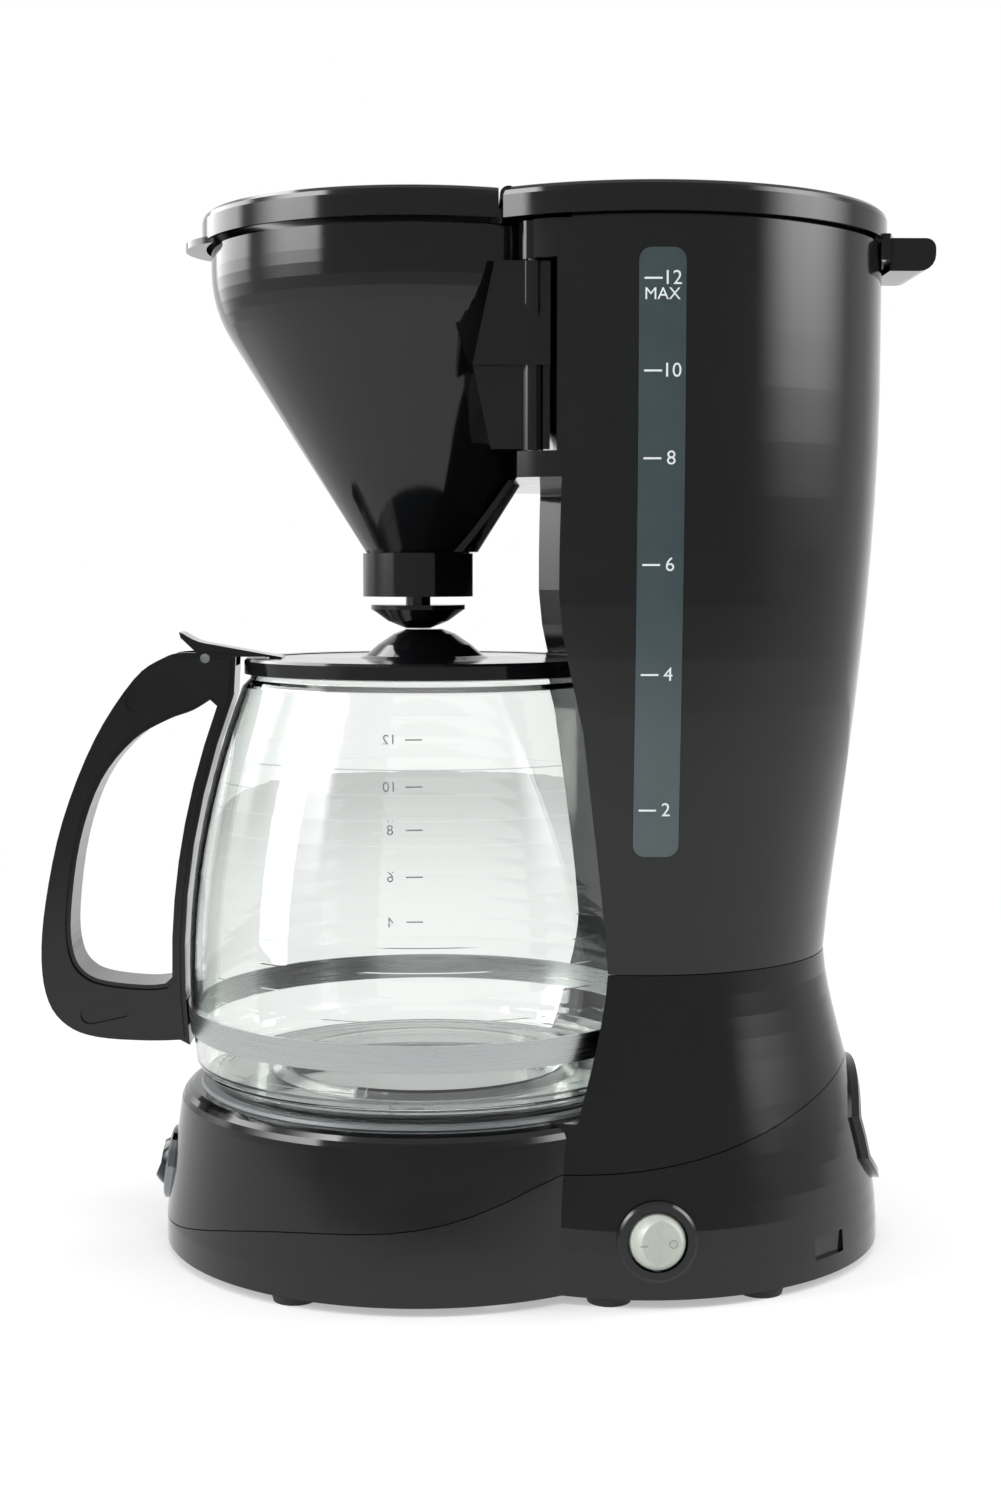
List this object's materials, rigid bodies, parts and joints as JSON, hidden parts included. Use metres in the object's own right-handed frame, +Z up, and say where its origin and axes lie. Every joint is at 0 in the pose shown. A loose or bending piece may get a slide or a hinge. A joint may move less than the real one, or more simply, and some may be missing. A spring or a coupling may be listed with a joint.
{
  "type": "drip coffee maker",
  "caption": "Tabletop drip coffee maker: round hotplate base, water tank tower with a gauge strip, swing-out conical filter holder, hinged tank lid and a glass carafe with a loop handle.",
  "frame": {"origin": "on the table, under the middle of the outline's bounding box", "axes": "+Z up, -Y towards the carafe's handle and the keep-warm switch, +Y towards the tank's lifting tab, +X to the side with the power switch and the gauge strip"},
  "size_m": [0.1646, 0.2764, 0.3226],
  "materials": {
    "black_plastic": "glossy",
    "black_tray": "matte",
    "hot_metal": "satin",
    "steel": "brushed",
    "chrome": "polished",
    "element": "satin",
    "grey_ring": "satin",
    "foot_rubber": "matte",
    "silicone": "matte",
    "white_plastic": "matte",
    "ceramic": "matte",
    "gauge_plastic": "smoky clear",
    "glass": "clear",
    "clear_cap": "translucent"
  },
  "bodies": {
    "machine": {"base_tray": "black_tray", "feet": "foot_rubber", "base_screws": "steel", "base_skirt": "black_plastic", "deck_housing": "black_plastic", "cord_well": "black_tray", "terminal_block": "white_plastic", "hotplate": "hot_metal", "hotplate_seal": "grey_ring", "heating_element": "element", "element_bracket": "steel", "thermostat": "ceramic", "thermal_fuses": "ceramic", "check_valve": "white_plastic", "cold_hose": "silicone", "hot_hose": "silicone", "hose_clips": "steel", "riser_tube": "white_plastic", "spray_arm": "white_plastic", "tank_shell": "black_plastic", "gauge_window": "gauge_plastic", "brew_head": "black_plastic", "brew_cover": "black_plastic", "cover_screws": "steel", "tank_lid_pins": "steel", "holder_hinge_pin": "steel", "power_switch_case": "black_plastic", "warm_switch_case": "chrome"},
    "tank_lid": {"tank_lid": "black_plastic"},
    "filter_holder": {"filter_holder": "black_plastic", "drip_stop_housing": "black_plastic", "drip_stop_spring": "steel"},
    "drip_stop": {"drip_stop_plunger": "black_plastic", "drip_stop_seal": "silicone"},
    "power_rocker": {"power_rocker": "clear_cap"},
    "warm_rocker": {"warm_rocker": "black_plastic"},
    "carafe": {"carafe_glass": "glass", "carafe_band": "steel", "carafe_handle": "black_plastic", "handle_screw": "steel", "carafe_collar": "black_plastic", "carafe_lid": "black_plastic", "carafe_lid_pin": "steel"}
  },
  "joints": [
    {"name": "tank_lid_hinge", "type": "hinge", "parent": "machine", "child": "tank_lid", "pos_m": [0, 0.0066, 0.3171], "axis": [1, 0, 0], "range_deg": [0, 85]},
    {"name": "filter_holder_swing", "type": "hinge", "parent": "machine", "child": "filter_holder", "pos_m": [0.059, 0.0135, 0.27], "axis": [0, 0, 1], "range_deg": [0, 80]},
    {"name": "drip_stop_slide", "type": "slide", "parent": "filter_holder", "child": "drip_stop", "axis": [0, 0, -1], "range_m": [0, 0.004], "stiffness_N_per_m": 60, "springref_m": 0.006, "deforming": ["drip_stop_spring"]},
    {"name": "power_rocker_hinge", "type": "hinge", "parent": "machine", "child": "power_rocker", "pos_m": [0.07402, 0.049, 0.0193], "axis": [0.1132, 0, -0.9936], "range_deg": [0, 16]},
    {"name": "warm_rocker_hinge", "type": "hinge", "parent": "machine", "child": "warm_rocker", "pos_m": [0, -0.09678, 0.02275], "axis": [1, 0, 0], "range_deg": [0, 16]},
    {"name": "carafe_slide", "type": "slide", "parent": "machine", "child": "carafe", "axis": [0, -1, 0], "range_m": [0, 0.2]}
  ],
  "couplings": [
    {"joint": "drip_stop_slide", "follows": "carafe_slide", "ratio": 0.02}
  ]
}
